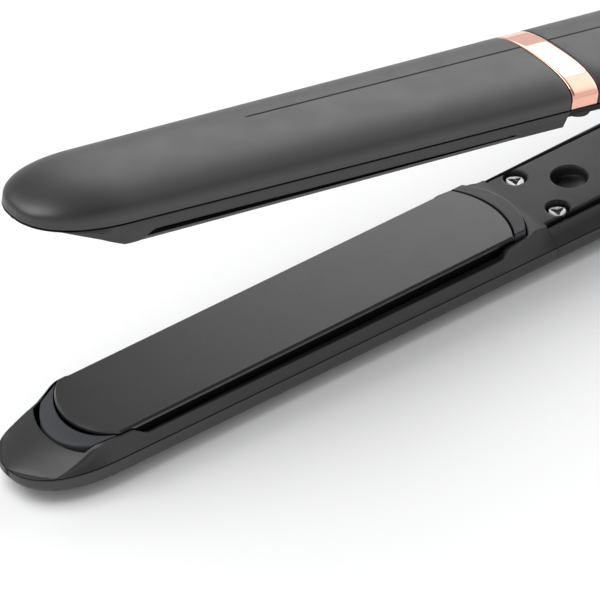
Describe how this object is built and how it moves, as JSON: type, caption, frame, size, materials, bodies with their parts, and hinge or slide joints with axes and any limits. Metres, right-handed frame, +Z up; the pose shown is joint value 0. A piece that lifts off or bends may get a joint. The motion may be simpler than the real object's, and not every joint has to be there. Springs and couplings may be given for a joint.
{
  "type": "hair straightener",
  "caption": "Hair straightener with two slim arms on a sprung rear hinge, floating flat heated plates, a rose-gold band and controls inside the handle.",
  "frame": {"origin": "middle of the bounding box's underside: on the surface the lower arm lies on, midway between the tips and the cord gland", "axes": "+X along the lower arm from the tips to the hinge, +Z up from the surface, +Y across"},
  "size_m": [0.2946, 0.0328, 0.0792],
  "materials": {
    "soft_touch_shell": "soft-touch charcoal paint on plastic, low sheen",
    "casing_plastic": "fine-textured heat-proof plastic, charcoal",
    "rose_gold": "rose-gold plated trim, mirror polished",
    "plate_coat": "aluminium with a black ceramic coat, satin",
    "cap_plastic": "heat-proof plastic, matte bluish grey",
    "button_plastic": "satin moulded plastic",
    "carrier_plastic": "glass-filled heat-proof moulding, matt black",
    "heater_ceramic": "fired, matt",
    "spring_steel": "bright",
    "silicone": "moulded, matt",
    "lead_sleeve": "braid-look sleeve, matt",
    "circuit_board": "green solder mask",
    "smoked_lens": "smoked, polished"
  },
  "bodies": {
    "lower_arm": {"lower_front_shell": "soft_touch_shell", "lower_handle_shell": "soft_touch_shell", "lower_front_casing": "casing_plastic", "lower_handle_casing": "casing_plastic", "lower_casing_screw_left": "spring_steel", "lower_casing_screw_right": "spring_steel", "lower_heater_lead": "lead_sleeve", "lower_front_cushion": "silicone", "lower_rear_cushion": "silicone", "display_window": "smoked_lens", "control_board": "circuit_board", "board_screw_front": "spring_steel", "board_screw_rear": "spring_steel", "power_tact_switch": "casing_plastic", "minus_tact_switch": "casing_plastic", "plus_tact_switch": "casing_plastic", "hinge_yoke": "casing_plastic", "hinge_pin": "spring_steel", "hinge_cap_left": "rose_gold", "hinge_cap_right": "rose_gold", "hinge_washer_left": "carrier_plastic", "hinge_washer_right": "carrier_plastic", "hinge_torsion_spring": "spring_steel"},
    "upper_arm": {"upper_front_shell": "soft_touch_shell", "upper_handle_shell": "soft_touch_shell", "upper_front_casing": "casing_plastic", "upper_handle_casing": "casing_plastic", "upper_casing_screw_left": "spring_steel", "upper_casing_screw_right": "spring_steel", "upper_heater_lead": "lead_sleeve", "upper_front_cushion": "silicone", "upper_rear_cushion": "silicone", "upper_accent_band": "rose_gold", "upper_locating_peg": "casing_plastic", "hinge_knuckle": "casing_plastic"},
    "lower_plate": {"lower_heating_plate": "plate_coat", "lower_front_end_cap": "cap_plastic", "lower_rear_end_cap": "cap_plastic", "lower_plate_carrier": "carrier_plastic", "lower_ceramic_heater": "heater_ceramic", "lower_heater_clamp": "spring_steel", "lower_thermal_fuse": "spring_steel"},
    "upper_plate": {"upper_heating_plate": "plate_coat", "upper_front_end_cap": "cap_plastic", "upper_rear_end_cap": "cap_plastic", "upper_plate_carrier": "carrier_plastic", "upper_ceramic_heater": "heater_ceramic", "upper_heater_clamp": "spring_steel", "upper_thermal_fuse": "spring_steel"},
    "power_button": {"power_button": "button_plastic"},
    "minus_button": {"minus_button": "button_plastic"},
    "plus_button": {"plus_button": "button_plastic"},
    "lock_slider": {"lock_slider": "button_plastic"},
    "cord_swivel": {"cord_swivel": "casing_plastic"}
  },
  "joints": [
    {"name": "arm_hinge", "type": "hinge", "parent": "lower_arm", "child": "upper_arm", "pos_m": [0.12759, 0, 0.014], "axis": [0, -1, 0], "range_deg": [0, 11.4], "stiffness_Nm_per_rad": 0.8, "springref_deg": -28.65, "deforming": ["hinge_torsion_spring"]},
    {"name": "lower_plate_float", "type": "slide", "parent": "lower_arm", "child": "lower_plate", "axis": [0, 0, -1], "range_m": [0, 0.0006], "stiffness_N_per_m": 3000, "springref_m": -0.0005, "deforming": ["lower_front_cushion", "lower_rear_cushion", "lower_heater_lead"]},
    {"name": "upper_plate_float", "type": "slide", "parent": "upper_arm", "child": "upper_plate", "axis": [0.1977, 0, 0.9803], "range_m": [0, 0.0006], "stiffness_N_per_m": 3000, "springref_m": -0.0005, "deforming": ["upper_front_cushion", "upper_rear_cushion", "upper_heater_lead"]},
    {"name": "power_press", "type": "slide", "parent": "lower_arm", "child": "power_button", "axis": [0, 0, -1], "range_m": [0, 0.0005], "stiffness_N_per_m": 600, "springref_m": -0.0003},
    {"name": "minus_press", "type": "slide", "parent": "lower_arm", "child": "minus_button", "axis": [0, 0, -1], "range_m": [0, 0.0005], "stiffness_N_per_m": 600, "springref_m": -0.0003},
    {"name": "plus_press", "type": "slide", "parent": "lower_arm", "child": "plus_button", "axis": [0, 0, -1], "range_m": [0, 0.0005], "stiffness_N_per_m": 600, "springref_m": -0.0003},
    {"name": "lock_slide", "type": "slide", "parent": "upper_arm", "child": "lock_slider", "axis": [0.9803, 0, -0.1977], "range_m": [0, 0.005]},
    {"name": "cord_swivel_turn", "type": "hinge", "parent": "lower_arm", "child": "cord_swivel", "pos_m": [0.14209, 0, 0.014], "axis": [1, 0, 0], "continuous": true}
  ]
}
